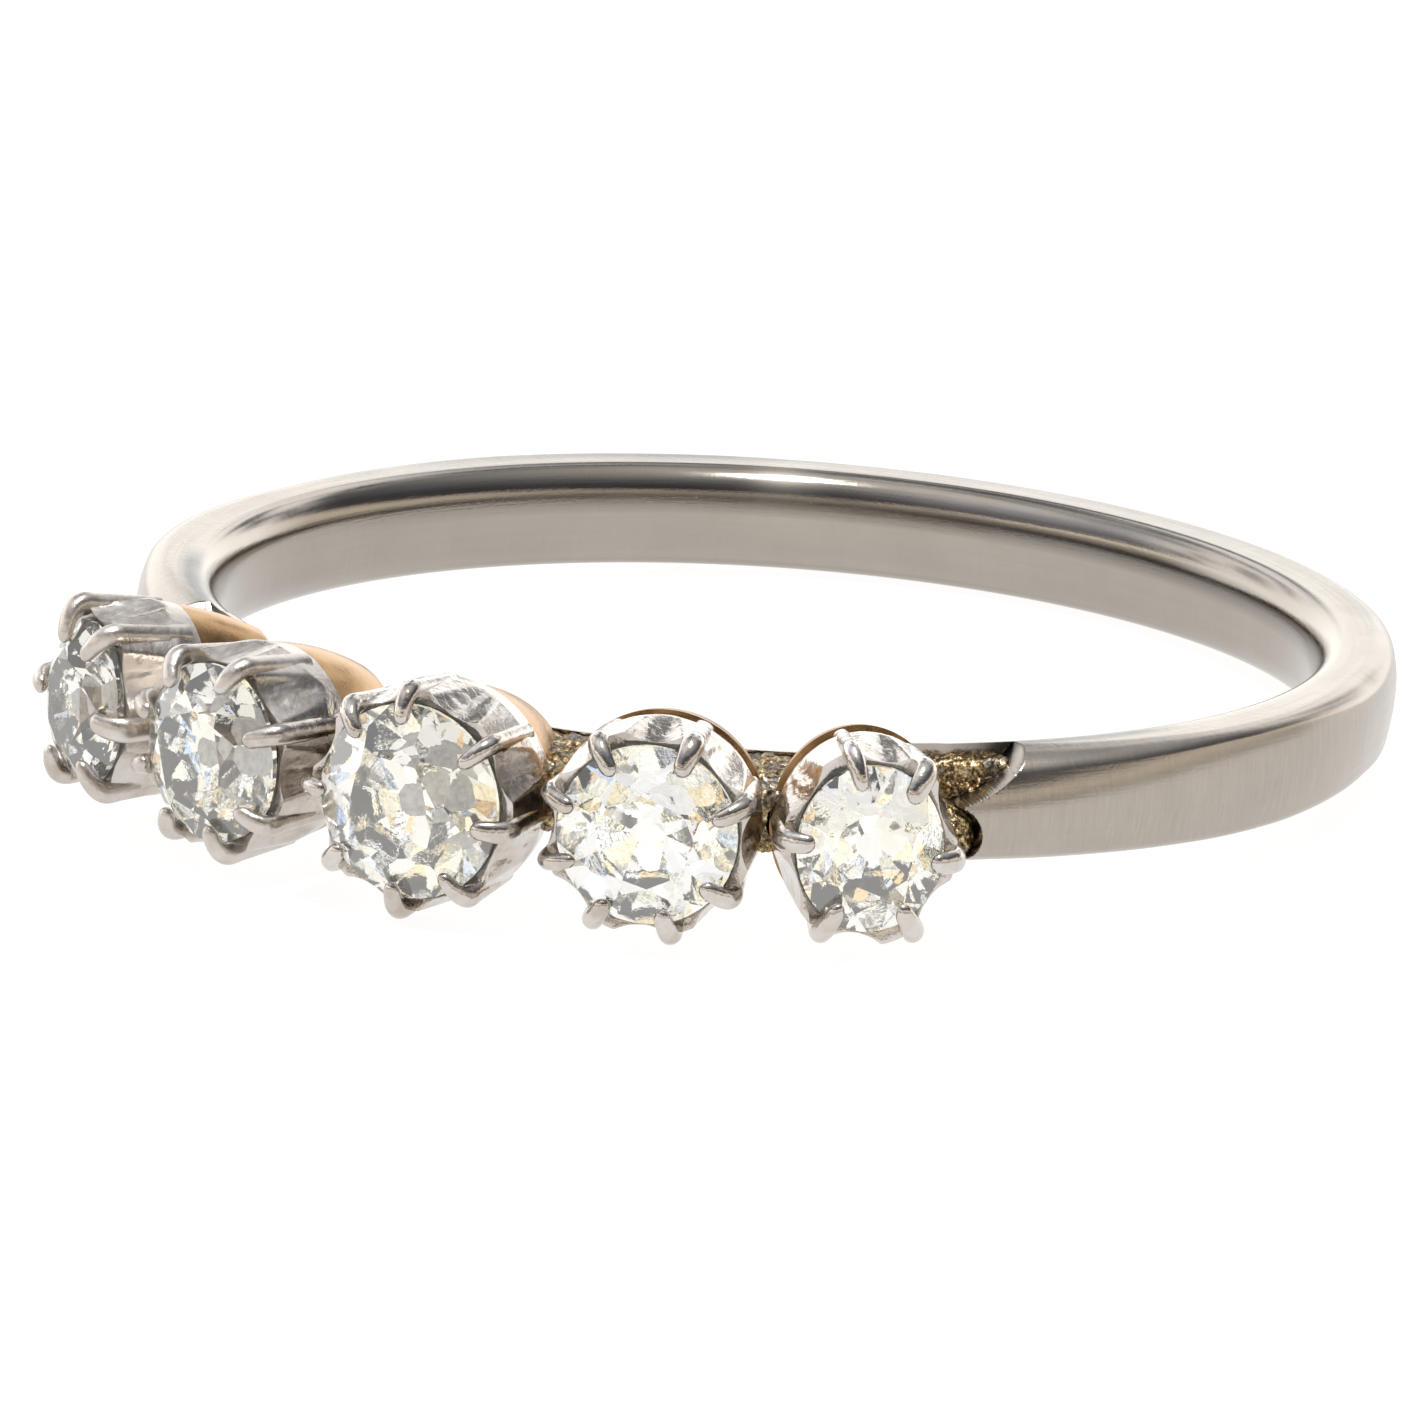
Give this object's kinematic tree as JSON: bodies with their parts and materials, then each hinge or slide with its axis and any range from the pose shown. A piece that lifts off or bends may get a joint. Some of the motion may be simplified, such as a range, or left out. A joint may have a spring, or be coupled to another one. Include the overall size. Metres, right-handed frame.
{
  "type": "five stone ring",
  "caption": "Finger ring with a curved row of old-cut stones in fluted claw collets of white metal, on a yellow gold under-gallery and a plain D-section band.",
  "frame": {"origin": "centre of the finger hole, halfway across the band", "axes": "+Z along the finger, -Y towards the middle stone, X across the ring"},
  "size_m": [0.0198, 0.0224, 0.0038],
  "materials": {
    "platinum_band": "platinum, satin from wear outside, smoother inside",
    "platinum_collet": "platinum, bright cut flutes and rounded claws",
    "gold": "yellow gold, smooth cups with rough solder between",
    "diamond": "old-cut diamond"
  },
  "bodies": {
    "root": {"shank": "platinum_band", "gallery": "gold", "collet_1": "platinum_collet", "collet_2": "platinum_collet", "collet_3": "platinum_collet", "collet_4": "platinum_collet", "collet_5": "platinum_collet", "stone_1": "diamond", "stone_2": "diamond", "stone_3": "diamond", "stone_4": "diamond", "stone_5": "diamond"}
  },
  "joints": []
}
